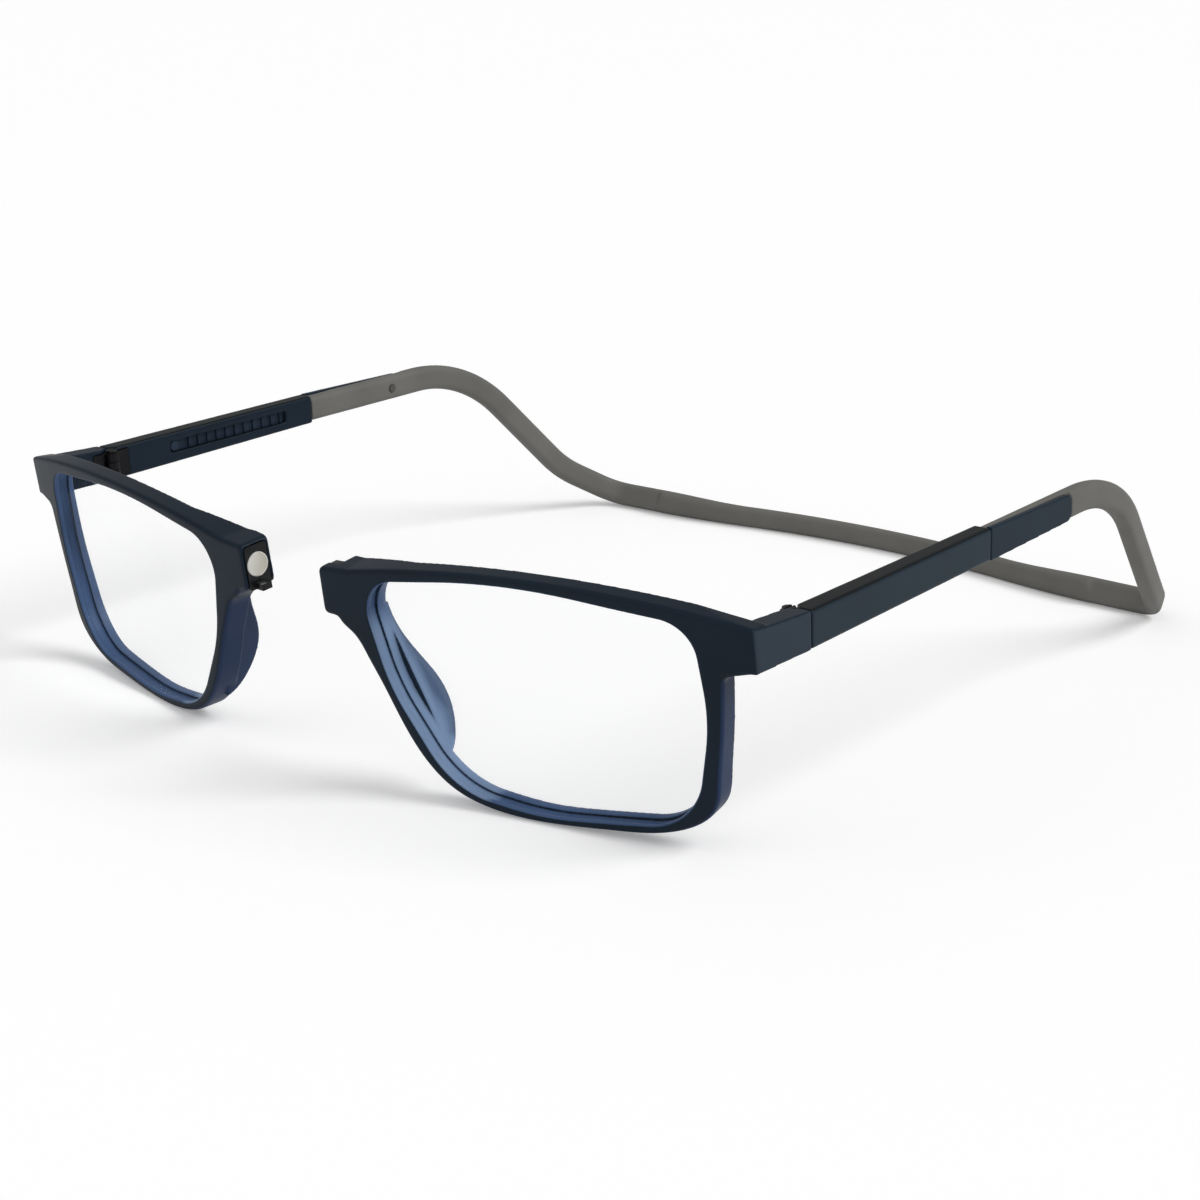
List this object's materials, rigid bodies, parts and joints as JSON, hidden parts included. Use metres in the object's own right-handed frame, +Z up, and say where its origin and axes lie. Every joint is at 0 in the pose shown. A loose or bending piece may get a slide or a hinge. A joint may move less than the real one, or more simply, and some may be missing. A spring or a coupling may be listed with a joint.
{
  "type": "magnetic bridge reading glasses",
  "caption": "Reading glasses that part at the nose and clip together with disc magnets, with folding fronts, sliding temples and a springy headband around the back of the head.",
  "frame": {"origin": "centre of the bounding box in plan, on the plane that the glasses rest on", "axes": "+X to the wearer's left, across the two halves; -Y the way the wearer looks; +Z up"},
  "size_m": [0.1492, 0.1452, 0.0363],
  "materials": {
    "frame": "satin",
    "lens": "clear",
    "magnet": "nickel plated",
    "holder": "gloss",
    "hinge_metal": "satin",
    "temple": "satin",
    "rail": "satin",
    "cap": "satin",
    "headband": "soft matte"
  },
  "bodies": {
    "headband_back": {"headband_back": "headband"},
    "left_band_arm": {"left_headband_arm": "headband", "left_slider_rail": "rail", "left_stop_peg": "holder", "left_slider_cap": "cap", "left_cap_pin": "hinge_metal"},
    "left_temple_tube": {"left_temple": "temple", "left_temple_hinge_leaf": "hinge_metal", "left_hinge_screw": "hinge_metal"},
    "left_front": {"left_rim": "frame", "left_lens": "lens", "left_magnet": "magnet", "left_magnet_holder": "holder", "left_front_hinge_leaf": "hinge_metal"},
    "right_band_arm": {"right_headband_arm": "headband", "right_slider_rail": "rail", "right_stop_peg": "holder", "right_slider_cap": "cap", "right_cap_pin": "hinge_metal"},
    "right_temple_tube": {"right_temple": "temple", "right_temple_hinge_leaf": "hinge_metal", "right_hinge_screw": "hinge_metal"},
    "right_front": {"right_rim": "frame", "right_lens": "lens", "right_magnet": "magnet", "right_magnet_holder": "holder", "right_front_hinge_leaf": "hinge_metal"}
  },
  "joints": [
    {"name": "left_band_flex", "type": "hinge", "parent": "headband_back", "child": "left_band_arm", "pos_m": [0.037, 0.06704, 0], "axis": [0, 0, 1], "range_deg": [-3.21, 20], "stiffness_Nm_per_rad": 0.4},
    {"name": "left_temple_slide", "type": "slide", "parent": "left_band_arm", "child": "left_temple_tube", "axis": [0.0333, -0.9993, -0.0192], "range_m": [0, 0.0233]},
    {"name": "left_front_hinge", "type": "hinge", "parent": "left_temple_tube", "child": "left_front", "pos_m": [0.07044, -0.04689, 0.0277], "axis": [0.0006, -0.0192, 0.9998], "range_deg": [-90, 0]},
    {"name": "right_band_flex", "type": "hinge", "parent": "headband_back", "child": "right_band_arm", "pos_m": [-0.037, 0.06704, 0], "axis": [0, 0, 1], "range_deg": [-20, 3.21], "stiffness_Nm_per_rad": 0.4},
    {"name": "right_temple_slide", "type": "slide", "parent": "right_band_arm", "child": "right_temple_tube", "axis": [-0.0333, -0.9993, -0.0192], "range_m": [0, 0.0233]},
    {"name": "right_front_hinge", "type": "hinge", "parent": "right_temple_tube", "child": "right_front", "pos_m": [-0.07044, -0.04689, 0.0277], "axis": [-0.0006, -0.0192, 0.9998], "range_deg": [0, 90]}
  ]
}
